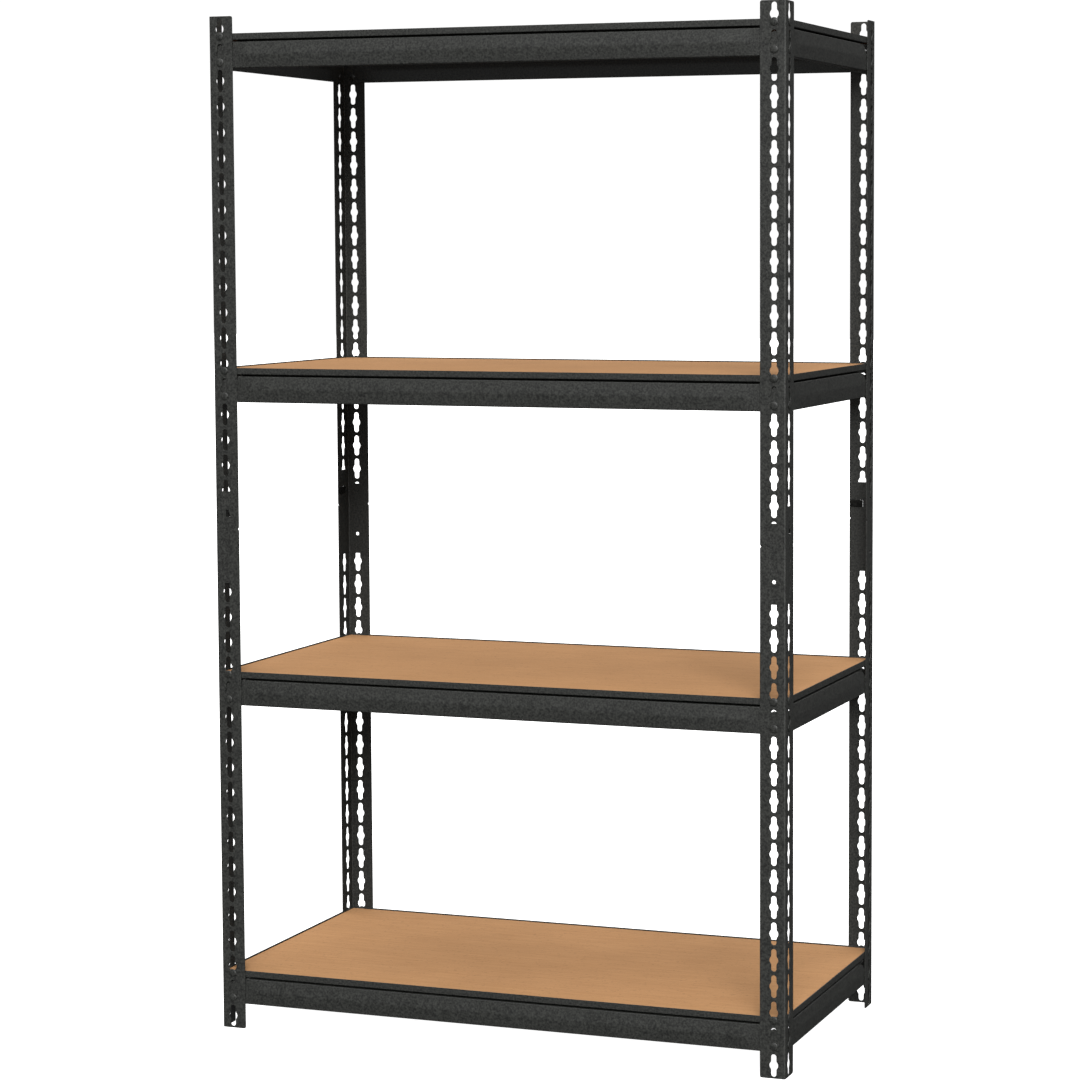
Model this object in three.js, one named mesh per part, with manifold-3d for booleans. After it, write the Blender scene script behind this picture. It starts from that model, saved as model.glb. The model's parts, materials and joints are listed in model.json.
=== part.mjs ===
// Boltless steel shelving: four angle posts, each in two halves joined by a splice plate,
// and four shelves. Each shelf is four roll-formed beams that hook into the posts' keyholes
// by two rivets at each end, and a board that drops in between the beams' lips.
//
// Millimetres, +Z up. The origin is on the floor, under the middle of the unit.
// X runs along the width, Y from front (-) to back (+).

import * as THREE from 'three';
import { mergeVertices } from 'three/addons/utils/BufferGeometryUtils.js';
import Module from 'manifold-3d';

const wasm = await Module();
wasm.setup();

// ---------- driving dimensions ----------

const width = 895.35;              // over the posts, 35 1/4 in
const depth = 457.2;               // over the posts, 18 in
const fitGap = 0.3;                // between pieces that touch
const overcut = 1;                 // how far a cutter runs on past what it cuts

const holePitch = 38.1;            // keyholes are 1 1/2 in apart
const holesPerHalf = 20;           // forty in all make a 1524 mm, 60 in, post
const halfHeight = holePitch * holesPerHalf;
const holeLine = 17.35;            // from the corner's outer face to the keyholes' centre line

const postFlange = 38.1;           // 1 1/2 in
const postSheet = 1.5;
const postBend = 2.5;

const keyhole = { slotWidth: 8.3, length: 33, bulgeWidth: 14, bulgeHeight: 11.2 };

const rivet = { shank: 3.5, head: 6, headHeight: 1.2, sunk: 0.9, sides: 6 };
const rivetSeat = 12.3;            // rivet centre below the keyhole's centre when it is hooked in
const rivetBelowTop = 4.4;         // upper rivet below the beam's top edge

const beamSheet = 1.2;
const beam = {
  height: 51.4,
  lip: 9.2,                        // upright edge that holds the board in
  groove: 4.1,                     // mouth of the folded ledge
  ledge: 14,                       // how far the ledge reaches in under the board
  ridge: 31.5,                     // the face is folded out a little at this depth
  ridgeOut: 1.2,
  bottomReturn: 10,
  endClearance: 5,                 // from the post's outer face to the end of the beam
  tabLength: 34,
  lowerTabTop: 21.4,
  lowerTabBottom: 54.3,
  tabOverlap: 2,                   // how far a tab runs on into the folded section
};

// Sloping relief that cuts away the top of a short beam's face beside its right-hand tab.
const relief = { start: 67, end: 34, low: 28, reach: 3 };

const boardClearance = 1.2;        // all round, inside the lips
const boardThickness = beam.lip - beamSheet - fitGap;

const splice = {
  sheet: 1.5,
  bend: 1,
  flange: 36.5,                    // reach from the post's outer corner
  below: 82,                       // below the joint between the post halves
  aboveLong: 56.4,
  aboveShort: 32.8,
  sightHole: 2.75,
  sightHoleBelow: 49.9,
  pocketBottom: 17.9,
  pocketTop: 28.2,
  pocketReach: 20,
  pocketDepth: 1,
};

// Index of the upper keyhole that each shelf hooks into, counted from the floor.
const shelfHoles = [2, 14, 26, 39];

// ---------- materials ----------

const paintedSteel = new THREE.MeshStandardMaterial({ color: 0x353633, roughness: 0.55, metalness: 0.3 });
const shadedSteel = new THREE.MeshStandardMaterial({ color: 0x2b2c29, roughness: 0.6, metalness: 0.3 });
const particleBoard = new THREE.MeshStandardMaterial({ color: 0xc09468, roughness: 0.8, metalness: 0 });

// ---------- helpers ----------

// A closed three.js geometry as a solid that can be joined and cut.
function solidOf(geometry) {
  const bare = geometry.index ? geometry.toNonIndexed() : geometry.clone();
  bare.deleteAttribute('normal');
  bare.deleteAttribute('uv');
  const merged = mergeVertices(bare, 1e-4);
  return new wasm.Manifold(new wasm.Mesh({
    numProp: 3,
    vertProperties: new Float32Array(merged.attributes.position.array),
    triVerts: new Uint32Array(merged.index.array),
  }));
}

function geometryOf(solid) {
  const mesh = solid.getMesh();
  const geometry = new THREE.BufferGeometry();
  geometry.setAttribute('position', new THREE.BufferAttribute(new Float32Array(mesh.vertProperties), 3));
  geometry.setIndex(new THREE.BufferAttribute(new Uint32Array(mesh.triVerts), 1));
  geometry.computeVertexNormals();
  return geometry;
}

function outline(points) {
  return new THREE.Shape(points.map(([x, y]) => new THREE.Vector2(x, y)));
}

function extrude(points, length) {
  return new THREE.ExtrudeGeometry(outline(points), { depth: length, bevelEnabled: false, steps: 1 });
}

function block(x0, x1, y0, y1, z0, z1) {
  const geometry = new THREE.BoxGeometry(x1 - x0, y1 - y0, z1 - z0);
  geometry.translate((x0 + x1) / 2, (y0 + y1) / 2, (z0 + z1) / 2);
  return geometry;
}

// Turns a geometry extruded along Z, with its outline in (X, Y), so that it runs along X
// with its outline in (Y, Z).
const alongX = new THREE.Matrix4().makeBasis(
  new THREE.Vector3(0, 1, 0),
  new THREE.Vector3(0, 0, 1),
  new THREE.Vector3(1, 0, 0),
);

// The same for a run along -Y, with the outline in (X, Z).
const faceOn = new THREE.Matrix4().makeBasis(
  new THREE.Vector3(1, 0, 0),
  new THREE.Vector3(0, 0, 1),
  new THREE.Vector3(0, -1, 0),
);

// Outline of bent sheet: the middle line of the sheet, given thickness on both sides
// with mitred corners.
function sheetOutline(middle, thickness) {
  const left = [];
  const right = [];
  const last = middle.length - 1;
  middle.forEach(([x, y], i) => {
    const before = middle[Math.max(i - 1, 0)];
    const after = middle[Math.min(i + 1, last)];
    const a = new THREE.Vector2(x - before[0], y - before[1]).normalize();
    const b = new THREE.Vector2(after[0] - x, after[1] - y).normalize();
    if (i === 0) a.copy(b);
    if (i === last) b.copy(a);
    const normal = new THREE.Vector2(-a.y - b.y, a.x + b.x).normalize();
    const reach = thickness / 2 / normal.dot(new THREE.Vector2(-a.y, a.x));
    left.push([x + normal.x * reach, y + normal.y * reach]);
    right.push([x - normal.x * reach, y - normal.y * reach]);
  });
  return left.concat(right.reverse());
}

// ---------- posts ----------

// How far in from both faces the middle of a quarter-round bend lies, for a radius of 1.
const arcMiddle = 1 - Math.SQRT1_2;

// Half of an angle post, its outer corner on the Z axis and its flanges along +X and +Y.
function makePostHalf() {
  const section = [
    [postBend, 0],
    [postFlange, 0],
    [postFlange, postSheet],
    [postSheet, postSheet],
    [postSheet, postFlange],
    [0, postFlange],
    [0, postBend],
    [postBend * arcMiddle, postBend * arcMiddle],
  ];
  let post = solidOf(extrude(section, halfHeight - fitGap / 2));
  const cut = makeKeyholeCutters();
  for (const piece of cut) {
    post = post.subtract(piece);
  }
  return post;
}

// Cutters for the two rows of keyholes: a round hole with a slot above and below it.
function makeKeyholeCutters() {
  const { slotWidth, length, bulgeWidth, bulgeHeight } = keyhole;
  const side = [
    [slotWidth / 2, length / 2],
    [slotWidth / 2, bulgeHeight / 2],
    [bulgeWidth / 2, 0],
    [slotWidth / 2, -bulgeHeight / 2],
    [slotWidth / 2, -length / 2],
  ];
  const points = side.concat(side.map(([x, y]) => [-x, y]).reverse());
  const reach = postSheet + 2 * overcut;
  const cutters = [];
  for (let i = 0; i < holesPerHalf; i += 1) {
    const z = holePitch * (i + 0.5);
    const front = extrude(points, reach).applyMatrix4(faceOn);
    front.translate(holeLine, postSheet + overcut, z);
    cutters.push(solidOf(front));
    const sideCutter = extrude(points, reach).applyMatrix4(alongX);
    sideCutter.translate(-overcut, holeLine, z);
    cutters.push(solidOf(sideCutter));
  }
  return cutters;
}

// ---------- splices ----------

// Angle plate that lies inside the corner of a post and bridges its two halves. Its flange
// along +X is the longer one. Height zero is the joint between the halves.
function makeSplice() {
  const { sheet, flange, below, aboveLong, aboveShort } = splice;
  const outer = postSheet + fitGap;
  const inner = outer + sheet;
  const bend = outer + splice.bend;
  const section = [
    [bend, outer],
    [flange, outer],
    [flange, inner],
    [inner, inner],
    [inner, flange],
    [outer, flange],
    [outer, bend],
  ];
  const body = extrude(section, below + aboveLong);
  body.translate(0, 0, -below);
  let plate = solidOf(body);

  const shortened = block(0, inner, inner, flange + overcut, aboveShort, aboveLong + overcut);
  plate = plate.subtract(solidOf(shortened));

  const hole = new THREE.CylinderGeometry(splice.sightHole, splice.sightHole, sheet + 2 * overcut, 8);
  hole.rotateZ(Math.PI / 2);
  hole.translate(outer + sheet / 2, holeLine, -splice.sightHoleBelow);
  plate = plate.subtract(solidOf(hole));

  const pocket = block(
    flange - splice.pocketReach, flange + overcut,
    inner - splice.pocketDepth, inner + overcut,
    splice.pocketBottom, splice.pocketTop,
  );
  return plate.subtract(solidOf(pocket));
}

// ---------- beams ----------

// One beam along X, its outer face towards -Y at y = 0 and its top edge at z = 0.
function makeBeam(span, hasRelief) {
  const half = span / 2 - beam.endClearance;
  const formedHalf = half - beam.tabLength;
  const middle = beamSheet / 2;
  const ledge = -beam.lip + middle;
  const underFold = -beam.lip - beam.groove - middle;
  const section = sheetOutline([
    [middle, 0],
    [middle, ledge],
    [beam.ledge - middle, ledge],
    [beam.ledge - middle, underFold],
    [middle, underFold],
    [middle - beam.ridgeOut, -beam.ridge],
    [middle, -beam.height + middle],
    [beam.bottomReturn, -beam.height + middle],
  ], beamSheet);
  const formed = extrude(section, 2 * formedHalf).applyMatrix4(alongX);
  formed.translate(-formedHalf, 0, 0);
  let solid = solidOf(formed);
  if (hasRelief) {
    const fold = -beam.lip - beam.groove;
    const triangle = [
      [half - relief.start, fold],
      [half - relief.end, -relief.low],
      [half - relief.end + overcut, fold],
    ];
    const cutter = extrude(triangle, 2 * relief.reach).applyMatrix4(faceOn);
    cutter.translate(0, relief.reach, 0);
    solid = solid.subtract(solidOf(cutter));
  }

  for (const end of [-1, 1]) {
    const inner = formedHalf - beam.tabOverlap;
    const x0 = Math.min(end * half, end * inner);
    const x1 = Math.max(end * half, end * inner);
    solid = solid.add(solidOf(block(x0, x1, 0, beamSheet, -beam.lip, 0)));
    solid = solid.add(solidOf(block(x0, x1, 0, beamSheet, -beam.lowerTabBottom, -beam.lowerTabTop)));
    for (const drop of [rivetBelowTop, rivetBelowTop + holePitch]) {
      const stud = makeRivet();
      stud.translate(end * (span / 2 - holeLine), 0, -drop);
      solid = solid.add(solidOf(stud));
    }
  }
  return solid;
}

// Rivet staked into a beam's end tab. It points to -Y, through the post, and its head is
// just clear of the post's outer face.
function makeRivet() {
  const neck = postSheet + 2 * fitGap;
  const profile = [
    [0, -rivet.sunk],
    [rivet.shank, -rivet.sunk],
    [rivet.shank, neck],
    [rivet.head, neck],
    [0, neck + rivet.headHeight],
  ].map(([r, y]) => new THREE.Vector2(r, y));
  const geometry = new THREE.LatheGeometry(profile, rivet.sides);
  geometry.rotateX(Math.PI);
  return geometry;
}

// ---------- boards ----------

function makeBoard() {
  const inset = postSheet + fitGap + beamSheet + boardClearance;
  return block(
    -width / 2 + inset, width / 2 - inset,
    -depth / 2 + inset, depth / 2 - inset,
    -boardThickness, 0,
  );
}

// ---------- assembly ----------

const group = new THREE.Group();
group.name = 'boltless_shelving';

function place(name, geometry, material, [x, y, z], quarterTurns = 0) {
  const mesh = new THREE.Mesh(geometry, material.clone());
  mesh.name = name;
  mesh.position.set(x, y, z);
  mesh.rotation.z = quarterTurns * Math.PI / 2;
  group.add(mesh);
}

const corners = [
  { name: 'front_left', x: -width / 2, y: -depth / 2, turns: 0 },
  { name: 'front_right', x: width / 2, y: -depth / 2, turns: 1 },
  { name: 'back_right', x: width / 2, y: depth / 2, turns: 2 },
  { name: 'back_left', x: -width / 2, y: depth / 2, turns: 3 },
];

const postGeometry = geometryOf(makePostHalf());
const spliceGeometry = geometryOf(makeSplice());
for (const { name, x, y, turns } of corners) {
  place(`post_${name}_lower`, postGeometry, paintedSteel, [x, y, 0], turns);
  place(`post_${name}_upper`, postGeometry, paintedSteel, [x, y, halfHeight + fitGap / 2], turns);
  place(`splice_${name}`, spliceGeometry, shadedSteel, [x, y, halfHeight], turns);
}

const longBeam = geometryOf(makeBeam(width, false));
const shortBeam = geometryOf(makeBeam(depth, true));
const board = makeBoard();
const face = postSheet + fitGap;
shelfHoles.forEach((hole, i) => {
  const top = holePitch * (hole + 0.5) - rivetSeat + rivetBelowTop;
  const shelf = `shelf_${i + 1}`;
  place(`${shelf}_front_beam`, longBeam, paintedSteel, [0, -depth / 2 + face, top], 0);
  place(`${shelf}_right_beam`, shortBeam, paintedSteel, [width / 2 - face, 0, top], 1);
  place(`${shelf}_back_beam`, longBeam, paintedSteel, [0, depth / 2 - face, top], 2);
  place(`${shelf}_left_beam`, shortBeam, paintedSteel, [-width / 2 + face, 0, top], 3);
  place(`${shelf}_board`, board, particleBoard, [0, 0, top], 0);
});

export default group;
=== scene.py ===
import json
import math

import bmesh
import bpy
from mathutils import Matrix, Vector, noise

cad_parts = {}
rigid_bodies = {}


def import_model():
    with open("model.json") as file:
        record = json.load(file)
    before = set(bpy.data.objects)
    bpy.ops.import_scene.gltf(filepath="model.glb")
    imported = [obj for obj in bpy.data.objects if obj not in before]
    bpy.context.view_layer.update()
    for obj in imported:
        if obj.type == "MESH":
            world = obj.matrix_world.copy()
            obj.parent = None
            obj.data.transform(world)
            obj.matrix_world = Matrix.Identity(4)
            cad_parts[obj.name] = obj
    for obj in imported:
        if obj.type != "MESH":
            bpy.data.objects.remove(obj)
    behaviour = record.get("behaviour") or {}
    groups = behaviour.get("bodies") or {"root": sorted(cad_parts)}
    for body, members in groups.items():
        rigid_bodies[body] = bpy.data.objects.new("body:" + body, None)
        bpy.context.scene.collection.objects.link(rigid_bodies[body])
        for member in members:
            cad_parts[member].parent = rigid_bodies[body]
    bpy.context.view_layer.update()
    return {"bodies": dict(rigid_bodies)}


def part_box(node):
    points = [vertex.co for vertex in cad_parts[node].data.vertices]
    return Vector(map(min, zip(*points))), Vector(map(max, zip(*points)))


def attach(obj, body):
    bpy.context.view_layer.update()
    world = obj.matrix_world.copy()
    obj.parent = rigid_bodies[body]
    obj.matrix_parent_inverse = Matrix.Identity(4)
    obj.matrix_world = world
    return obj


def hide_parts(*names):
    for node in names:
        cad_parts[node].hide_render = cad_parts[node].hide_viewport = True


# Boltless steel shelving: keyholed angle posts, riveted hook-in beams and drop-in boards.
# Sizes are in millimetres in the dictionaries and in metres everywhere else.

mm = 0.001
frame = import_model()
scene = bpy.context.scene
quarter = math.pi / 2

cornerTurns = {"front_left": 0, "front_right": 1, "back_right": 2, "back_left": 3}
sideTurns = {"front": 0, "right": 1, "back": 2, "left": 3}
shelves = sorted({name[:7] for name in frame["bodies"] if name.startswith("shelf_")})
fitGap = 0.3 * mm  # between pieces that touch


view = {
    "sensor": 36,
    "place": (1.69476, -4.24676, 1.19485),
    "turn": 19.451,  # degrees left of straight ahead
    "tilt": -4.591,
    "roll": -0.133,
    "lens": 100.336,
    "shiftX": -0.12037,
    "shiftY": -0.05556,
}


def makeCamera():
    data = bpy.data.cameras.new("camera")
    data.sensor_width = view["sensor"]
    data.lens = view["lens"]
    data.shift_x = view["shiftX"]
    data.shift_y = view["shiftY"]
    data.clip_start = 0.1
    data.clip_end = 100
    camera = bpy.data.objects.new("camera", data)
    turned = Matrix.Rotation(math.radians(view["turn"]), 4, "Z")
    tilted = Matrix.Rotation(math.radians(90 + view["tilt"]), 4, "X")
    rolled = Matrix.Rotation(math.radians(view["roll"]), 4, "Z")
    camera.matrix_world = Matrix.Translation(view["place"]) @ turned @ tilted @ rolled
    scene.collection.objects.link(camera)
    scene.camera = camera


makeCamera()
print("camera placed")


def addNode(tree, kind, inputs=None, **settings):
    # a node with its settings, and a value or a link for each input named
    made = tree.nodes.new(kind)
    for key, value in settings.items():
        setattr(made, key, value)
    for key, value in (inputs or {}).items():
        if isinstance(value, bpy.types.NodeSocket):
            tree.links.new(value, made.inputs[key])
        else:
            made.inputs[key].default_value = value
    return made


def linear(hexColour):
    parts = [int(hexColour[i : i + 2], 16) / 255 for i in (1, 3, 5)]
    curve = [c / 12.92 if c <= 0.04045 else ((c + 0.055) / 1.055) ** 2.4 for c in parts]
    return (*curve, 1.0)


def arc(cx, cy, radius, start, end, steps):
    # points on an arc, both ends included, angles in degrees
    angles = [math.radians(start + (end - start) * i / steps) for i in range(steps + 1)]
    return [(cx + radius * math.cos(a), cy + radius * math.sin(a)) for a in angles]


def smoothStep(t):
    t = min(max(t, 0), 1)
    return t * t * (3 - 2 * t)


def meshFrom(name, bm):
    bmesh.ops.recalc_face_normals(bm, faces=bm.faces)
    mesh = bpy.data.meshes.new(name)
    bm.to_mesh(mesh)
    bm.free()
    return mesh


def addObject(name, mesh, material=None):
    made = bpy.data.objects.new(name, mesh)
    scene.collection.objects.link(made)
    if material and mesh.materials:
        mesh.materials[0] = material
    elif material:
        mesh.materials.append(material)
    return made


def smoothFaces(mesh, angle=35):
    mesh.polygons.foreach_set("use_smooth", [True] * len(mesh.polygons))
    mesh.set_sharp_from_angle(angle=math.radians(angle))


def finishSheet(piece, thickness, offset, edge):
    # gives a bent sheet its thickness, then eases its edges
    if thickness:
        solid = piece.modifiers.new("thickness", "SOLIDIFY")
        solid.thickness = thickness
        solid.offset = offset
        solid.use_even_offset = True
        solid.use_quality_normals = True
    eased = piece.modifiers.new("easedEdges", "BEVEL")
    eased.width = edge
    eased.segments = 2
    eased.limit_method = "ANGLE"
    eased.angle_limit = math.radians(50)
    eased.use_clamp_overlap = True
    weighted = piece.modifiers.new("flatShading", "WEIGHTED_NORMAL")
    weighted.keep_sharp = True


def runTree(piece, tree, values):
    # fills in a tree's named inputs and turns its result into a plain mesh
    modifier = piece.modifiers.new(tree.name, "NODES")
    modifier.node_group = tree
    for item in tree.interface.items_tree:
        if item.item_type == "SOCKET" and item.in_out == "INPUT" and item.name in values:
            modifier[item.identifier] = values[item.name]
    seen = piece.evaluated_get(bpy.context.evaluated_depsgraph_get())
    result = bpy.data.meshes.new_from_object(seen)
    piece.modifiers.remove(modifier)
    return result


def newTree(name, inputs):
    # a geometry tree with named inputs: name, kind, default
    tree = bpy.data.node_groups.new(name, "GeometryNodeTree")
    tree.interface.new_socket("Geometry", in_out="OUTPUT", socket_type="NodeSocketGeometry")
    tree.interface.new_socket("Geometry", in_out="INPUT", socket_type="NodeSocketGeometry")
    for label, kind, value in inputs:
        socket = tree.interface.new_socket(label, in_out="INPUT", socket_type=kind)
        if value is not None:
            socket.default_value = value
    return tree


powderCoat = {
    # Charcoal powder coat on cold-rolled sheet: sprayed dry and baked, so it is an even
    # dark film, more matt than glossy, with a pebbled texture like fine hammer tone.
    "dark": "#121312",
    "light": "#393a37",
    # lighter colour of rubbed edges, and also a painted highlight on the posts' bends and the rivet
    # heads
    "burnishedAndHighlight": "#4c4d4a",
    "roughness": (0.45, 0.56),  # both ends of its cloudy variation
    "peel": 2.8,  # the real peel is about 1 mm, drawn coarser so that it shows
    "peelDepth": 0.16,
    "speckle": (0.32, 0.68),  # noise values of the darkest and the lightest film
    "cloud": 45,
    "scuff": 9,
    "rubAndHighlightEnds": (0.32, 0.72),  # scuff values where rubbing and the painted highlight start and are full
    "rubAndHighlightMost": 0.7,
}


def makePowderCoat(name, tone=1.0, gloss=0.0, shine=0.5):
    material = bpy.data.materials.new(name)
    material.use_nodes = True
    tree = material.node_tree
    tree.nodes.clear()
    spec = powderCoat
    at = addNode(tree, "ShaderNodeTexCoord").outputs["Object"]
    peel = addNode(tree, "ShaderNodeTexNoise", {
        "Vector": at, "Scale": 1 / (spec["peel"] * mm), "Detail": 2.0, "Roughness": 0.55})
    cloud = addNode(tree, "ShaderNodeTexNoise", {
        "Vector": at, "Scale": 1 / (spec["cloud"] * mm), "Detail": 4.0, "Roughness": 0.6})
    scuff = addNode(tree, "ShaderNodeTexNoise", {
        "Vector": at, "Scale": 1 / (spec["scuff"] * mm), "Detail": 5.0, "Roughness": 0.7,
        "Distortion": 0.4})
    # fine speckle from the pebbled film
    darkest, lightest = spec["speckle"]
    spread = addNode(tree, "ShaderNodeMapRange", {
        "Value": peel.outputs["Fac"], "From Min": darkest, "From Max": lightest})
    darkTone = [c * tone for c in linear(spec["dark"])[:3]] + [1]
    lightTone = [c * tone for c in linear(spec["light"])[:3]] + [1]
    film = addNode(tree, "ShaderNodeMix", {
        "Factor": spread.outputs["Result"], 6: darkTone, 7: lightTone}, data_type="RGBA")
    # rubbed edges, and a painted highlight on the posts' bends and the rivet heads: the piece's own
    # attribute for both, broken up by the scuff noise
    rubAndHighlight = addNode(tree, "ShaderNodeAttribute", attribute_name="rubAndHighlight")
    broken = addNode(tree, "ShaderNodeMath", {
        0: scuff.outputs["Fac"], 1: rubAndHighlight.outputs["Fac"]}, operation="MULTIPLY")
    start, full = spec["rubAndHighlightEnds"]
    wornAndHighlight = addNode(tree, "ShaderNodeMapRange", {
        "Value": broken.outputs[0], "From Min": start, "From Max": full,
        "To Max": spec["rubAndHighlightMost"]})
    skin = addNode(tree, "ShaderNodeMix", {
        "Factor": wornAndHighlight.outputs["Result"], 6: film.outputs[2], 7: linear(spec["burnishedAndHighlight"])},
        data_type="RGBA")
    smoothest, roughest = spec["roughness"]
    rough = addNode(tree, "ShaderNodeMapRange", {
        "Value": cloud.outputs["Fac"], "From Min": 0.3, "From Max": 0.7,
        "To Min": smoothest - gloss, "To Max": roughest - gloss})
    bump = addNode(tree, "ShaderNodeBump", {
        "Height": peel.outputs["Fac"], "Strength": 1.0, "Distance": spec["peelDepth"] * mm})
    paint = addNode(tree, "ShaderNodeBsdfPrincipled", {
        "Base Color": skin.outputs[2], "Roughness": rough.outputs["Result"],
        "Metallic": 0.0, "IOR": 1.5, "Specular IOR Level": shine,
        "Normal": bump.outputs["Normal"]})
    addNode(tree, "ShaderNodeOutputMaterial", {"Surface": paint.outputs[0]})
    return material


particleBoard = {
    # Sanded raw particleboard: fine wood chips pressed with resin, so it is a smooth warm
    # tan with faint streaks where it was laid and sanded, and open chips on its sawn edges.
    "pale": "#c8986b",
    "mid": "#b9895c",
    "deep": "#8f6a45",
    "edge": "#a17a52",
    # the underside's colour: painted shade under the board
    "under": "#4a3626",
    "streak": (70, 2.2, 2.2),  # length, width and height
    "chip": 3.2,
    "chipTone": 0.3,  # how far the darkest chips go towards the deep colour
    "blotch": 160,
    "blotchTone": (0.95, 1.03),
    "grit": 1.6,  # sanding leaves finer grit, drawn coarser so that it shows
    "gritTone": (0.94, 1.05),
    "gritDepth": 0.12,
    "sawnTone": 0.8,  # how far the edges go towards their own colour
    "roughness": 0.85,
}


def makeParticleBoard(name):
    material = bpy.data.materials.new(name)
    material.use_nodes = True
    tree = material.node_tree
    tree.nodes.clear()
    spec = particleBoard
    at = addNode(tree, "ShaderNodeTexCoord").outputs["Object"]
    # streaks lie along the width of the board, as it was laid and sanded
    laid = addNode(tree, "ShaderNodeMapping", {
        "Vector": at, "Scale": [1 / (size * mm) for size in spec["streak"]]})
    streak = addNode(tree, "ShaderNodeTexNoise", {
        "Vector": laid.outputs[0], "Scale": 1.0, "Detail": 4.0, "Roughness": 0.6})
    chips = addNode(tree, "ShaderNodeTexVoronoi", {"Vector": at, "Scale": 1 / (spec["chip"] * mm)})
    tint = addNode(tree, "ShaderNodeSeparateColor", {"Color": chips.outputs["Color"]})
    grit = addNode(tree, "ShaderNodeTexNoise", {
        "Vector": at, "Scale": 1 / (spec["grit"] * mm), "Detail": 3.0, "Roughness": 0.65})
    blotch = addNode(tree, "ShaderNodeTexNoise", {
        "Vector": at, "Scale": 1 / (spec["blotch"] * mm), "Detail": 2.0})
    tone = addNode(tree, "ShaderNodeMapRange", {
        "Value": streak.outputs["Fac"], "From Min": 0.3, "From Max": 0.7})
    face = addNode(tree, "ShaderNodeMix", {
        "Factor": tone.outputs["Result"], 6: linear(spec["mid"]), 7: linear(spec["pale"])},
        data_type="RGBA")
    fleck = addNode(tree, "ShaderNodeMapRange", {
        "Value": tint.outputs[1], "From Min": 0.9, "From Max": 1.0, "To Max": spec["chipTone"]})
    flecked = addNode(tree, "ShaderNodeMix", {
        "Factor": fleck.outputs["Result"], 6: face.outputs[2], 7: linear(spec["deep"])},
        data_type="RGBA")
    shade = addNode(tree, "ShaderNodeMapRange", {
        "Value": blotch.outputs["Fac"], "From Min": 0.35, "From Max": 0.65,
        "To Min": spec["blotchTone"][0], "To Max": spec["blotchTone"][1]})
    gritShade = addNode(tree, "ShaderNodeMapRange", {
        "Value": grit.outputs["Fac"], "From Min": 0.3, "From Max": 0.7,
        "To Min": spec["gritTone"][0], "To Max": spec["gritTone"][1]})
    level = addNode(tree, "ShaderNodeMath", {
        0: shade.outputs["Result"], 1: gritShade.outputs["Result"]}, operation="MULTIPLY")
    toned = addNode(tree, "ShaderNodeVectorMath", {
        0: flecked.outputs[2], "Scale": level.outputs[0]}, operation="SCALE")
    # the sawn edges face sideways, and the face that looks down is darkened: painted shade under the
    # board
    facing = addNode(tree, "ShaderNodeSeparateXYZ", {
        "Vector": addNode(tree, "ShaderNodeNewGeometry").outputs["True Normal"]})
    sawn = addNode(tree, "ShaderNodeMapRange", {
        "Value": facing.outputs["Z"], "From Min": 0.8, "From Max": 0.3,
        "To Max": spec["sawnTone"]})
    sided = addNode(tree, "ShaderNodeMix", {
        "Factor": sawn.outputs["Result"], 6: toned.outputs[0], 7: linear(spec["edge"])},
        data_type="RGBA")
    below = addNode(tree, "ShaderNodeMapRange", {
        "Value": facing.outputs["Z"], "From Min": -0.3, "From Max": -0.8})
    skin = addNode(tree, "ShaderNodeMix", {
        "Factor": below.outputs["Result"], 6: sided.outputs[2], 7: linear(spec["under"])},
        data_type="RGBA")
    bump = addNode(tree, "ShaderNodeBump", {
        "Height": grit.outputs["Fac"], "Strength": 0.4, "Distance": spec["gritDepth"] * mm})
    wood = addNode(tree, "ShaderNodeBsdfPrincipled", {
        "Base Color": skin.outputs[2], "Roughness": spec["roughness"], "IOR": 1.45,
        "Specular IOR Level": 0.25, "Normal": bump.outputs["Normal"]})
    addNode(tree, "ShaderNodeOutputMaterial", {"Surface": wood.outputs[0]})
    return material


postCoat = makePowderCoat("postPowderCoat")
beamCoat = makePowderCoat("beamPowderCoat")
spliceCoat = makePowderCoat("splicePowderCoat", tone=0.9)
# painted shade: a much darker tone and weaker shine make the splice's shallow pocket read as a dark
# recess
pocketPaintedShade = makePowderCoat("pocketPaintedShadeCoat", tone=0.3, gloss=-0.3, shine=0.1)
rivetCoat = makePowderCoat("rivetPowderCoat", gloss=0.03)
boardFace = makeParticleBoard("sandedParticleBoard")
print("materials made")


post = {
    "flange": 38.1,
    "sheet": 1.5,
    "bend": 2.5,
    "bendSteps": 5,
    "pitch": 38.1,
    "keyholes": 20,  # in each half
    "line": 17.35,  # keyholes' centre line, from the corner
    "slot": 4.0,  # half width of the slots
    "slotEnd": 12.35,  # centre of the slots' round ends
    "round": 6.65,  # radius of the middle hole
    "shoulder": 3,  # radius where slot and hole run together
    "corner": 3,  # radius of the flanges' free corners
    "easing": 0.25,
}


def keyholeSide():
    # right half of a keyhole's outline, from its top to its bottom
    p = post
    reach = p["slot"] + p["shoulder"]
    height = math.sqrt((p["round"] + p["shoulder"]) ** 2 - reach**2)
    turn = math.degrees(math.atan2(height, reach))
    top = arc(0, p["slotEnd"], p["slot"], 90, 0, 4)
    top += arc(reach, height, p["shoulder"], 180, 180 + turn, 2)
    middle = arc(0, 0, p["round"], turn, -turn, 4)[1:-1]
    return top + middle + [(x, -y) for x, y in reversed(top)]


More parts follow.
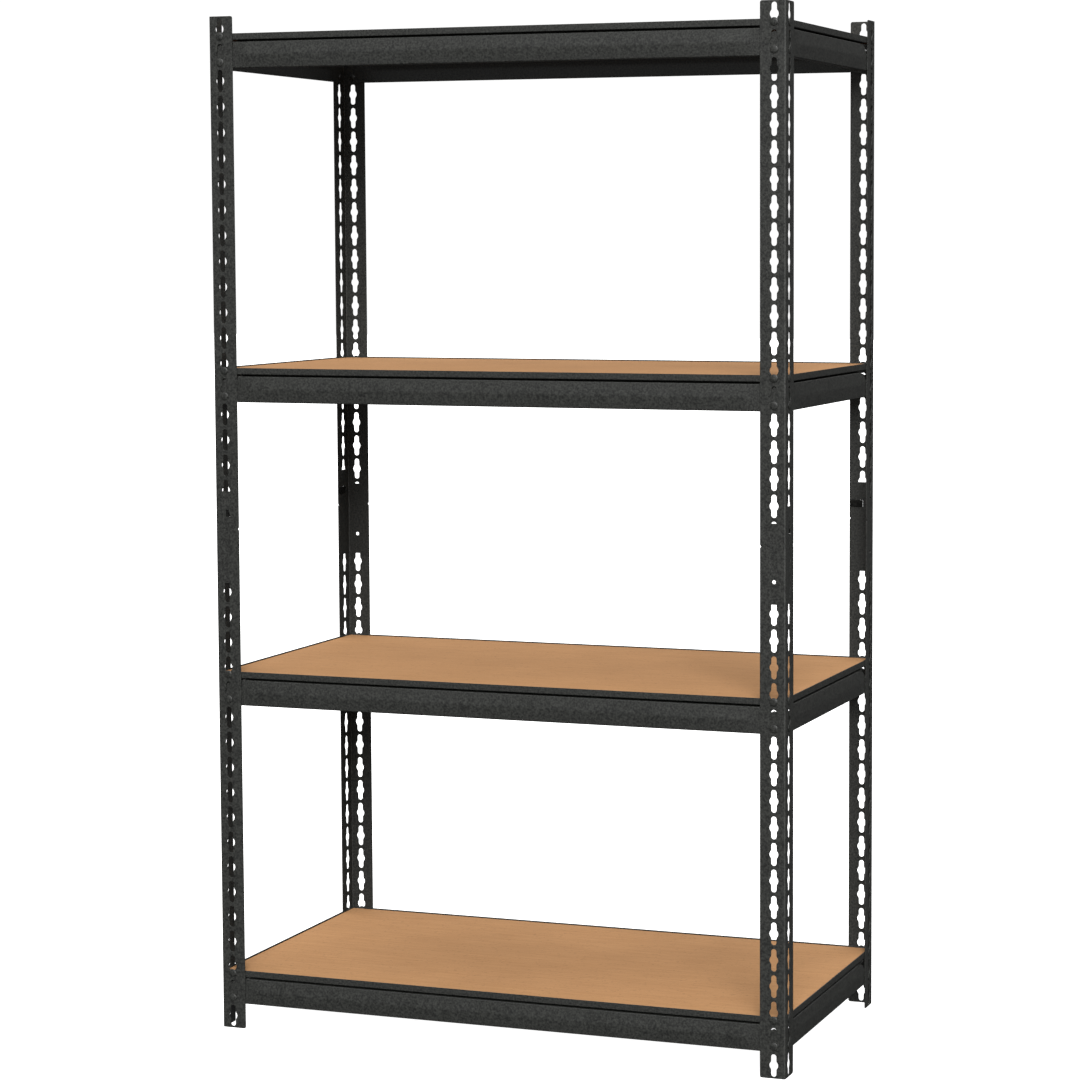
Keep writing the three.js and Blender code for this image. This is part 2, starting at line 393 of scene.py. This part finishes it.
def makePostCell():
    # one keyhole's height of an angle post's outer skin, flanges along +X and +Y
    p = post
    bm = bmesh.new()
    rubAndHighlight = bm.verts.layers.float.new("rubAndHighlight")
    side = keyholeSide()
    half = p["pitch"] / 2
    edges = {}

    def flange(swap):
        def vert(a, z):
            a, z = a * mm, z * mm
            return bm.verts.new((0, a, z) if swap else (a, 0, z))

        right = [vert(p["line"] + x, half + y) for x, y in side]
        left = [vert(p["line"] - x, half + y) for x, y in side[1:-1]]
        topMid = vert(p["line"], p["pitch"])
        bottomMid = vert(p["line"], 0)
        inner = [vert(p["bend"], 0), vert(p["bend"], p["pitch"])]
        outer = [vert(p["flange"], 0), vert(p["flange"], p["pitch"])]
        bm.faces.new([topMid, *right, bottomMid, *outer])
        bm.faces.new([topMid, right[0], *left, right[-1], bottomMid, *inner])
        edges[swap] = inner

    flange(False)
    flange(True)
    bend = arc(p["bend"], p["bend"], p["bend"], 270, 180, p["bendSteps"])
    before = edges[False]
    for i, (x, y) in enumerate(bend[1:], 1):
        last = i == p["bendSteps"]
        if last:
            here = edges[True]
        else:
            here = [bm.verts.new((x * mm, y * mm, z * mm)) for z in (0, p["pitch"])]
        bm.faces.new([before[0], before[1], here[1], here[0]])
        if not last:
            # the bend's inner steps are lighter: rubbed wear, and partly a painted highlight along
            # the bend
            for v in here:
                v[rubAndHighlight] = 1.0
        before = here
    return meshFrom("postCell", bm)


def makeStackTree():
    # stands copies of a mesh on each other and welds them
    tree = newTree("stackedKeyholes", [
        ("Count", "NodeSocketInt", 20),
        ("Pitch", "NodeSocketFloat", 0.0381),
        ("Weld", "NodeSocketFloat", 0.00001),
        ("Material", "NodeSocketMaterial", None),
    ])
    given = addNode(tree, "NodeGroupInput")
    step = addNode(tree, "ShaderNodeCombineXYZ", {"Z": given.outputs["Pitch"]})
    line = addNode(tree, "GeometryNodeMeshLine", {
        "Count": given.outputs["Count"], "Offset": step.outputs[0]})
    copies = addNode(tree, "GeometryNodeInstanceOnPoints", {
        "Points": line.outputs[0], "Instance": given.outputs["Geometry"]})
    real = addNode(tree, "GeometryNodeRealizeInstances", {"Geometry": copies.outputs[0]})
    welded = addNode(tree, "GeometryNodeMergeByDistance", {
        "Geometry": real.outputs[0], "Distance": given.outputs["Weld"]})
    painted = addNode(tree, "GeometryNodeSetMaterial", {
        "Geometry": welded.outputs[0], "Material": given.outputs["Material"]})
    addNode(tree, "NodeGroupOutput", {"Geometry": painted.outputs[0]})
    return tree


def makePostHalf():
    cell = addObject("postCell", makePostCell())
    mesh = runTree(cell, makeStackTree(), {
        "Count": post["keyholes"], "Pitch": post["pitch"] * mm, "Material": postCoat})
    bpy.data.objects.remove(cell)
    bm = bmesh.new()
    bm.from_mesh(mesh)
    # the halves stop just short of each other
    height = post["pitch"] * post["keyholes"] * mm
    for v in bm.verts:
        if v.co.z > height - fitGap:
            v.co.z = height - fitGap / 2
    free = post["flange"] * mm
    ends = [v for v in bm.verts
            if max(v.co.x, v.co.y) > free - fitGap and len(v.link_edges) == 2]
    bmesh.ops.bevel(bm, geom=ends, offset=post["corner"] * mm, segments=4, profile=0.5,
                    affect="VERTICES", clamp_overlap=True)
    bm.to_mesh(mesh)
    bm.free()
    smoothFaces(mesh)
    return mesh


def cornerMatrix(corner, height):
    low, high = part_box(f"post_{corner}_lower")
    x = low.x if "left" in corner else high.x
    y = low.y if "front" in corner else high.y
    return Matrix.Translation((x, y, height)) @ Matrix.Rotation(cornerTurns[corner] * quarter, 4, "Z")


def placePosts():
    halfPost = makePostHalf()
    for corner in cornerTurns:
        for part in ("lower", "upper"):
            node = f"post_{corner}_{part}"
            low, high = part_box(node)
            mesh = halfPost.copy()
            mesh.transform(cornerMatrix(corner, low.z))
            piece = addObject(f"{node}_angle", mesh, postCoat)
            finishSheet(piece, post["sheet"] * mm, -1, post["easing"] * mm)
            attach(piece, "root")
            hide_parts(node)


placePosts()
print("posts made")


splice = {
    "sheet": 1.5,
    "bend": 1.6,
    "bendSteps": 4,
    "flange": 36.5,  # reach from the post's outer corner
    "below": 82,
    "longTop": 56.4,
    "shortTop": 32.8,
    "hole": 2.75,
    "holeBelow": 49.9,
    "pocketLow": 17.9,
    "pocketHigh": 28.2,
    "pocketReach": 20,
    "pocketFloor": 0.5,  # sheet left at the pocket
    "easing": 0.25,
}


def makeSplice():
    # skin of the plate, longer flange along +X, height 0 at the joint of the posts
    s = splice
    skin = post["sheet"] + 0.3
    bm = bmesh.new()

    def onLong(x, z):
        return bm.verts.new((x * mm, skin * mm, z * mm))

    def onShort(y, z):
        return bm.verts.new((skin * mm, y * mm, z * mm))

    start = skin + s["bend"]
    edge = s["flange"]
    levels = [-s["below"], s["pocketLow"], s["pocketHigh"], s["shortTop"], s["longTop"]]
    # long flange: a column beside the bend and a column that the pocket notches
    inside = edge - s["pocketReach"]
    grid = {(x, z): onLong(x, z) for x in (start, inside, edge) for z in levels}
    thin = []
    for low, high in zip(levels, levels[1:]):
        for a, b in ((start, inside), (inside, edge)):
            if (a, low) == (inside, s["pocketLow"]):
                thin = [onLong(a, low), onLong(b, low), onLong(b, high), onLong(a, high)]
                # the pocket's floor takes the second slot, its painted shade
                bm.faces.new(thin).material_index = 1
                continue
            bm.faces.new([grid[a, low], grid[b, low], grid[b, high], grid[a, high]])
    # short flange, with the round sight hole
    line = post["line"]
    centre = -s["holeBelow"]
    ring = arc(0, 0, s["hole"], 90, -90, 8)
    right = [onShort(line + x, centre + y) for x, y in ring]
    left = [onShort(line - x, centre + y) for x, y in ring[1:-1]]
    low = levels[0]
    near = {z: onShort(start, z) for z in levels[:-1]}
    top = levels[3]
    far = [onShort(edge, low), onShort(edge, top)]
    midTop = onShort(line, top)
    midLow = onShort(line, low)
    bm.faces.new([midTop, *right, midLow, *far])
    bm.faces.new([midTop, right[0], *left, right[-1], midLow, *[near[z] for z in levels[:-1]]])
    # bend between them, up to the short flange's top
    turn = arc(start, start, s["bend"], 270, 180, s["bendSteps"])
    before = [grid[start, z] for z in levels[:-1]]
    for i, (x, y) in enumerate(turn[1:], 1):
        if i == s["bendSteps"]:
            here = [near[z] for z in levels[:-1]]
        else:
            here = [bm.verts.new((x * mm, y * mm, z * mm)) for z in levels[:-1]]
        for j in range(len(here) - 1):
            bm.faces.new([before[j], before[j + 1], here[j + 1], here[j]])
        before = here
    weight = bm.verts.layers.deform.new()
    for v in bm.verts:
        v[weight][0] = s["pocketFloor"] / s["sheet"] if v in thin else 1.0
    mesh = meshFrom("splice", bm)
    smoothFaces(mesh)
    return mesh


def placeSplices():
    plate = makeSplice()
    for corner in cornerTurns:
        node = f"splice_{corner}"
        low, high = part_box(node)
        mesh = plate.copy()
        mesh.transform(cornerMatrix(corner, low.z + splice["below"] * mm))
        piece = addObject(f"{node}_plate", mesh, spliceCoat)
        # second slot: painted shade for the pocket's floor
        mesh.materials.append(pocketPaintedShade)
        piece.vertex_groups.new(name="sheet")
        # fault left in: this thickness grows outwards, so the plate lies in the post's sheet
        finishSheet(piece, splice["sheet"] * mm, -1, splice["easing"] * mm)
        piece.modifiers["thickness"].vertex_group = "sheet"
        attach(piece, "root")
        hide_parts(node)


placeSplices()
print("splices made")


beam = {
    "sheet": 1.2,
    "behind": 1.8,  # its outer face, behind the posts' outer plane
    "clearance": 5,  # end of the beam, from the post's outer face
    "lip": 9.6,
    "groove": 3.0,
    "ledge": 14,
    "bendRadius": 0.5,
    "ridge": 31.5,
    "ridgeOut": 1.6,
    "ridgeSoft": 2.2,
    "depth": 51.4,
    "bottomBend": 1.2,
    "bottomReturn": 10,
    "returnAtTab": 4,
    "tab": 34,  # flat forked end
    "forkSteps": (3, 1.2),  # stations short of the tab's root
    "flatten": 28,  # over which the folded section runs out
    "prongTop": 17.2,  # its point, in line with the rivets
    "prongSlope": 0.5,
    "prongBottom": 54.3,
    "reliefStart": 70,
    "reliefDepth": 28,
    "lipRub": 1.0,
    "ridgeRub": 0.45,
    "easing": 0.22,
}
# rows of the section, counted from the lip's top
lastUpperRow = 5  # ends the upper prong
cutRow = 13  # ends the folded ledge
ridgeRow = 18
lastRow = 24


def beamSection(fromEnd, hasRelief):
    # points across the sheet's middle, inwards and down, from the lip's top to the return;
    # the flat tab has as many of them as the folded section, so that the two join
    b = beam
    h = b["sheet"] / 2
    r = b["bendRadius"]
    out = smoothStep((b["tab"] + b["flatten"] - fromEnd) / b["flatten"])
    isTab = fromEnd < b["tab"]
    floor = b["lip"] - h
    roof = b["lip"] + b["groove"] + h
    loop = (roof - floor) / 2
    tip = b["ledge"] - h - loop
    rows = [(h, 0), (h, 1.5)]
    if isTab:
        rows += [(h, b["lip"] - 1.5 + 0.5 * i) for i in range(4)]
    else:
        rows += arc(h + r, floor - r, r, 180, 90, 3)
    rows += arc(tip, (floor + roof) / 2, loop, -90, 90, 6)
    rows += [(h + r, roof)]
    top = roof + r
    if hasRelief and b["tab"] <= fromEnd < b["reliefStart"]:
        share = (b["reliefStart"] - fromEnd) / (b["reliefStart"] - b["tab"])
        top += (b["reliefDepth"] - top) * share**4
    if isTab:
        point = b["prongTop"] + b["prongSlope"] * abs(fromEnd - post["line"] + b["clearance"])
        top = point + 1.5
        rows += [(h, point + 0.5 * i) for i in range(2)]
    else:
        rows += [(h + r - r * math.sin(a * quarter / 3), top - r * math.cos(a * quarter / 3))
                 for a in (1, 2)]
        if hasRelief and fromEnd < b["reliefStart"]:
            rows[-2:] = [(h, top - 0.02), (h, top - 0.01)]
    rows += [(h, top)]
    bulge = b["ridgeOut"] * (1 - out)
    ridge = b["ridge"]
    soft = b["ridgeSoft"]
    bottom = b["depth"] - h
    bend = b["bottomBend"]
    slope = bulge / (ridge - roof - r)
    rows += [(h - bulge + slope * soft, ridge - soft),
             (h - bulge + slope * soft * 0.35, ridge),
             (h - bulge + slope * soft, ridge + soft)]
    if isTab:
        # the lower edge drops behind the post, and is full below the rivets
        dropEnd = b["tab"] - b["forkSteps"][0]
        share = min((dropEnd - fromEnd) / (dropEnd - post["line"] + b["clearance"]), 1)
        low = b["depth"] - h + (b["prongBottom"] - b["depth"] + h) * max(share, 0)
        rows += [(h, low - 1.9), (h, low - 1.2), (h, low - 0.6), (h, low)]
        rows += [(h, low)]
    else:
        rows += arc(h + bend, bottom - bend, bend, 180, 90, 3)
        rows += [(b["bottomReturn"] - (b["bottomReturn"] - b["returnAtTab"]) * out, bottom)]
    return rows


def makeBeam(span, hasRelief):
    # along X, its outer face towards -Y at y = 0, its top edge at z = 0; span in metres
    b = beam
    half = span / 2 / mm - b["clearance"]
    near = [0, post["line"] - b["clearance"]]
    near += [b["tab"] - step for step in b["forkSteps"]] + [b["tab"]]
    steps = [b["tab"] + b["flatten"] * i / 6 for i in range(1, 7)]
    stations = [(-half + e, e, False) for e in near + steps]
    rightEnd = near + steps + ([b["reliefStart"]] if hasRelief else [])
    stations += [(half - e, e, hasRelief) for e in reversed(rightEnd)]
    bm = bmesh.new()
    rubAndHighlight = bm.verts.layers.float.new("rubAndHighlight")
    grid = []
    for x, e, relieved in stations:
        column = []
        for i, (u, v) in enumerate(beamSection(e, relieved)):
            point = bm.verts.new((x * mm, u * mm, -v * mm))
            point[rubAndHighlight] = {0: b["lipRub"], ridgeRow: b["ridgeRub"]}.get(i, 0.0)
            column.append(point)
        grid.append(column)
    for i in range(len(stations) - 1):
        ends = (stations[i], stations[i + 1])
        inTab = any(e < b["tab"] for x, e, relieved in ends)
        cutAway = any(relieved and b["tab"] <= e < b["reliefStart"] for x, e, relieved in ends)
        for j in range(len(grid[0]) - 1):
            if inTab and (lastUpperRow <= j <= cutRow or j >= lastRow - 1):
                continue
            if cutAway and cutRow <= j < cutRow + 3:
                continue
            bm.faces.new([grid[i][j], grid[i + 1][j], grid[i + 1][j + 1], grid[i][j + 1]])
    loose = [v for v in bm.verts if not v.link_faces]
    bmesh.ops.delete(bm, geom=loose, context="VERTS")
    mesh = meshFrom("beam", bm)
    smoothFaces(mesh)
    return mesh


rivet = {
    "head": 6,
    "headRise": 1.45,
    "shank": 3.6,
    "neck": 2.1,  # from the beam's face to the underside of the head
    "tail": 4.6,
    "tailRise": 1.1,
    "rim": 0.25,  # straight edge under the head's dome
    # the heads are lighter: rubbed, and partly a painted highlight on their domes
    "headRubAndHighlight": 0.35,
    "sides": 20,
    "upperDrop": 4.4,  # below the beam's top edge
}


def makeRivet():
    # turned about Y, its head towards -Y, y = 0 on the beam's outer face
    r = rivet
    sheet = beam["sheet"]
    dome = [(r["head"] * math.sin(a), r["neck"] + r["rim"] + (r["headRise"] - r["rim"]) * math.cos(a))
            for a in (0, 0.35, 0.7, 1.05, 1.35, quarter)]
    profile = dome + [(r["head"], r["neck"]), (r["shank"], r["neck"]), (r["shank"], -sheet),
                      (r["tail"], -sheet), (r["tail"] - 0.3, -sheet - r["tailRise"] * 0.6),
                      (r["tail"] - 1.3, -sheet - r["tailRise"]), (0, -sheet - r["tailRise"])]
    bm = bmesh.new()
    rubAndHighlight = bm.verts.layers.float.new("rubAndHighlight")
    rings = []
    for radius, reach in profile:
        count = 1 if radius < 1e-6 else r["sides"]
        ring = []
        for i in range(count):
            a = 2 * math.pi * i / r["sides"]
            point = bm.verts.new((radius * math.cos(a) * mm, -reach * mm, radius * math.sin(a) * mm))
            point[rubAndHighlight] = r["headRubAndHighlight"] if reach > r["neck"] else 0.0
            ring.append(point)
        rings.append(ring)
    for first, second in zip(rings, rings[1:]):
        for i in range(r["sides"]):
            j = (i + 1) % r["sides"]
            corners = [first[i % len(first)], first[j % len(first)],
                       second[j % len(second)], second[i % len(second)]]
            bm.faces.new(list(dict.fromkeys(corners)))
    mesh = meshFrom("rivet", bm)
    smoothFaces(mesh, 40)
    return mesh


def makeRivetTree():
    # four rivets: two at each end of a beam, one above the other
    tree = newTree("beamRivets", [
        ("Across", "NodeSocketFloat", 0.86),
        ("Apart", "NodeSocketFloat", 0.0381),
        ("Drop", "NodeSocketFloat", 0.0044),
        ("Material", "NodeSocketMaterial", None),
    ])
    given = addNode(tree, "NodeGroupInput")
    halfAcross = addNode(tree, "ShaderNodeMath", {
        0: given.outputs["Across"], 1: 0.5}, operation="MULTIPLY")
    minus = addNode(tree, "ShaderNodeMath", {
        0: halfAcross.outputs[0], 1: -1.0}, operation="MULTIPLY")
    down = addNode(tree, "ShaderNodeMath", {
        0: given.outputs["Drop"], 1: -1.0}, operation="MULTIPLY")
    lower = addNode(tree, "ShaderNodeMath", {
        0: given.outputs["Apart"], 1: -1.0}, operation="MULTIPLY")
    column = addNode(tree, "ShaderNodeCombineXYZ", {"Z": lower.outputs[0]})
    rows = []
    for side in (minus, halfAcross):
        start = addNode(tree, "ShaderNodeCombineXYZ", {"X": side.outputs[0], "Z": down.outputs[0]})
        rows.append(addNode(tree, "GeometryNodeMeshLine", {
            "Count": 2, "Start Location": start.outputs[0], "Offset": column.outputs[0]}))
    joined = addNode(tree, "GeometryNodeJoinGeometry")
    for row in rows:
        tree.links.new(row.outputs[0], joined.inputs[0])
    copies = addNode(tree, "GeometryNodeInstanceOnPoints", {
        "Points": joined.outputs[0], "Instance": given.outputs["Geometry"]})
    real = addNode(tree, "GeometryNodeRealizeInstances", {"Geometry": copies.outputs[0]})
    painted = addNode(tree, "GeometryNodeSetMaterial", {
        "Geometry": real.outputs[0], "Material": given.outputs["Material"]})
    addNode(tree, "NodeGroupOutput", {"Geometry": painted.outputs[0]})
    return tree


def sideMatrix(side, top):
    low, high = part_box("post_front_left_lower")
    out = (-low.y if side in ("front", "back") else -low.x) - beam["behind"] * mm
    turned = Matrix.Rotation(sideTurns[side] * quarter, 4, "Z")
    return Matrix.Translation((0, 0, top)) @ turned @ Matrix.Translation((0, -out, 0))


def placeBeams():
    low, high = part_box("post_front_left_lower")
    spans = {"front": -2 * low.x, "right": -2 * low.y}
    spans["back"] = spans["front"]
    spans["left"] = spans["right"]
    beams = {"front": makeBeam(spans["front"], False), "right": makeBeam(spans["right"], True)}
    beams["back"] = beams["front"]
    beams["left"] = beams["right"]
    tree = makeRivetTree()
    stud = addObject("stud", makeRivet())
    rivets = {}
    for side in sideTurns:
        rivets[side] = runTree(stud, tree, {
            "Across": spans[side] - 2 * post["line"] * mm, "Apart": post["pitch"] * mm,
            "Drop": rivet["upperDrop"] * mm, "Material": rivetCoat})
    bpy.data.objects.remove(stud)
    for shelf in shelves:
        for side in sideTurns:
            node = f"{shelf}_{side}_beam"
            # fault left in: this box ends at the rivet heads, 1.6 mm above the beam's own edge
            place = sideMatrix(side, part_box(node)[1].z)
            mesh = beams[side].copy()
            mesh.transform(place)
            piece = addObject(f"{node}_rolled", mesh, beamCoat)
            finishSheet(piece, beam["sheet"] * mm, 0, beam["easing"] * mm)
            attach(piece, node)
            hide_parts(node)
            heads = rivets[side].copy()
            heads.transform(place)
            studs = addObject(f"{node}_rivets", heads)
            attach(studs, node)


placeBeams()
print("beams and rivets made")


board = {
    "cells": (36, 18),
    "sag": 0.8,
    "easing": 0.5,
    "chipping": 0.15,
    "chipsPerMetre": 90,
}


def makeBoard(node):
    # a slab that sags a little between its ledges, with slightly chipped sawn edges
    low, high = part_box(node)
    nx, ny = board["cells"]
    middle = (low + high) / 2
    size = high - low
    bm = bmesh.new()
    layers = []
    for z in (low.z, high.z):
        rows = []
        for j in range(ny + 1):
            row = []
            for i in range(nx + 1):
                a = 2 * i / nx - 1
                b = 2 * j / ny - 1
                drop = board["sag"] * mm * (1 - a**4) * (1 - b**4)
                x = middle.x + a * size.x / 2
                y = middle.y + b * size.y / 2
                chip = abs(noise.noise(Vector((x, y, z)) * board["chipsPerMetre"]))
                chip *= board["chipping"] * mm
                x -= chip * (a if abs(a) == 1 else 0)
                y -= chip * (b if abs(b) == 1 else 0)
                row.append(bm.verts.new((x, y, z - drop)))
            rows.append(row)
        layers.append(rows)
    under, over = layers
    for rows in layers:
        for j in range(ny):
            for i in range(nx):
                bm.faces.new([rows[j][i], rows[j][i + 1], rows[j + 1][i + 1], rows[j + 1][i]])
    for i in range(nx):
        bm.faces.new([under[0][i], under[0][i + 1], over[0][i + 1], over[0][i]])
        bm.faces.new([under[ny][i], under[ny][i + 1], over[ny][i + 1], over[ny][i]])
    for j in range(ny):
        bm.faces.new([under[j][0], under[j + 1][0], over[j + 1][0], over[j][0]])
        bm.faces.new([under[j][nx], under[j + 1][nx], over[j + 1][nx], over[j][nx]])
    mesh = meshFrom(node, bm)
    smoothFaces(mesh)
    return mesh


def placeBoards():
    for shelf in shelves:
        node = f"{shelf}_board"
        piece = addObject(f"{node}_deck", makeBoard(node), boardFace)
        finishSheet(piece, 0, 0, board["easing"] * mm)
        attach(piece, node)
        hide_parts(node)
        piece.visible_glossy = False  # keeps its tan out of the dark steel


placeBoards()
print("boards made")


studio = {
    # brightness of the surroundings by elevation in degrees
    "rise": {-90: 0.05, -20: 0.08, 10: 0.14, 22: 0.35, 30: 0.9, 60: 1.1, 90: 1.2},
    "brightest": 1.2,
    "frontTurn": -110,  # degrees from +X
    "behind": 0.9,  # share left on the side away from that
    "sideEdges": (-0.5, 0.7),  # cosines between which the share changes
    "backdrop": 1.05,
    "keyTurn": -66,
    "keyRise": 27,
    "keyStrength": 3.0,
    "keySize": 34,  # degrees across
    "floor": "#f4f4f3",
    "floorGlow": 1.0,
    "floorSize": 60,
}


def heading(turn, rise=0):
    # unit vector at degrees from +X and degrees above the horizon
    turn, rise = math.radians(turn), math.radians(rise)
    return (math.cos(turn) * math.cos(rise), math.sin(turn) * math.cos(rise), math.sin(rise))


def makeSurroundings():
    # soft studio light: a gradient that surfaces see, and plain white behind the object
    spec = studio
    world = bpy.data.worlds.new("studio")
    scene.world = world
    world.use_nodes = True
    tree = world.node_tree
    tree.nodes.clear()
    towards = addNode(tree, "ShaderNodeTexCoord").outputs["Generated"]
    height = addNode(tree, "ShaderNodeSeparateXYZ", {"Vector": towards}).outputs["Z"]
    level = addNode(tree, "ShaderNodeMapRange", {"Value": height, "From Min": -1.0})
    ramp = addNode(tree, "ShaderNodeValToRGB", {"Fac": level.outputs["Result"]})
    stops = ramp.color_ramp.elements
    stops.remove(stops[1])
    for i, (rise, value) in enumerate(sorted(spec["rise"].items())):
        place = (math.sin(math.radians(rise)) + 1) / 2
        stop = stops.new(place) if i else stops[0]
        stop.position = place
        stop.color = [value / spec["brightest"]] * 3 + [1]
    facing = addNode(tree, "ShaderNodeVectorMath", {
        0: towards, 1: heading(spec["frontTurn"])}, operation="DOT_PRODUCT")
    away, towardsIt = spec["sideEdges"]
    share = addNode(tree, "ShaderNodeMapRange", {
        "Value": facing.outputs["Value"], "From Min": away, "From Max": towardsIt,
        "To Min": spec["behind"]}, interpolation_type="SMOOTHSTEP")
    total = addNode(tree, "ShaderNodeMath", {
        0: ramp.outputs["Color"], 1: share.outputs["Result"]}, operation="MULTIPLY")
    total = addNode(tree, "ShaderNodeMath", {
        0: total.outputs[0], 1: spec["brightest"]}, operation="MULTIPLY")
    light = addNode(tree, "ShaderNodeBackground", {
        "Color": (1, 1, 1, 1), "Strength": total.outputs[0]})
    plain = addNode(tree, "ShaderNodeBackground", {
        "Color": (1, 1, 1, 1), "Strength": spec["backdrop"]})
    seen = addNode(tree, "ShaderNodeMixShader", {
        "Fac": addNode(tree, "ShaderNodeLightPath").outputs["Is Camera Ray"],
        1: light.outputs[0], 2: plain.outputs[0]})
    addNode(tree, "ShaderNodeOutputWorld", {"Surface": seen.outputs[0]})


def makeKeyLight():
    lamp = bpy.data.lights.new("keyLight", "SUN")
    lamp.energy = studio["keyStrength"]
    lamp.angle = math.radians(studio["keySize"])
    made = bpy.data.objects.new("keyLight", lamp)
    towards = Vector(heading(studio["keyTurn"], studio["keyRise"]))
    made.matrix_world = towards.to_track_quat("Z", "Y").to_matrix().to_4x4()
    scene.collection.objects.link(made)


def makeFloor():
    # a white sheet that is seen but throws no light back up
    material = bpy.data.materials.new("paleFloor")
    material.use_nodes = True
    tree = material.node_tree
    tree.nodes.clear()
    paper = addNode(tree, "ShaderNodeBsdfPrincipled", {
        "Base Color": linear(studio["floor"]), "Roughness": 0.9, "Specular IOR Level": 0.2,
        "Emission Color": (1, 1, 1, 1), "Emission Strength": studio["floorGlow"]})
    addNode(tree, "ShaderNodeOutputMaterial", {"Surface": paper.outputs[0]})
    bm = bmesh.new()
    half = studio["floorSize"] / 2
    corners = ((-1, -1), (1, -1), (1, 1), (-1, 1))
    bm.faces.new([bm.verts.new((x * half, y * half, 0)) for x, y in corners])
    sheet = addObject("floor", meshFrom("floor", bm), material)
    sheet.visible_diffuse = False
    sheet.visible_glossy = False


scene.view_settings.view_transform = "Standard"
makeSurroundings()
makeKeyLight()
makeFloor()
print("floor and light made")
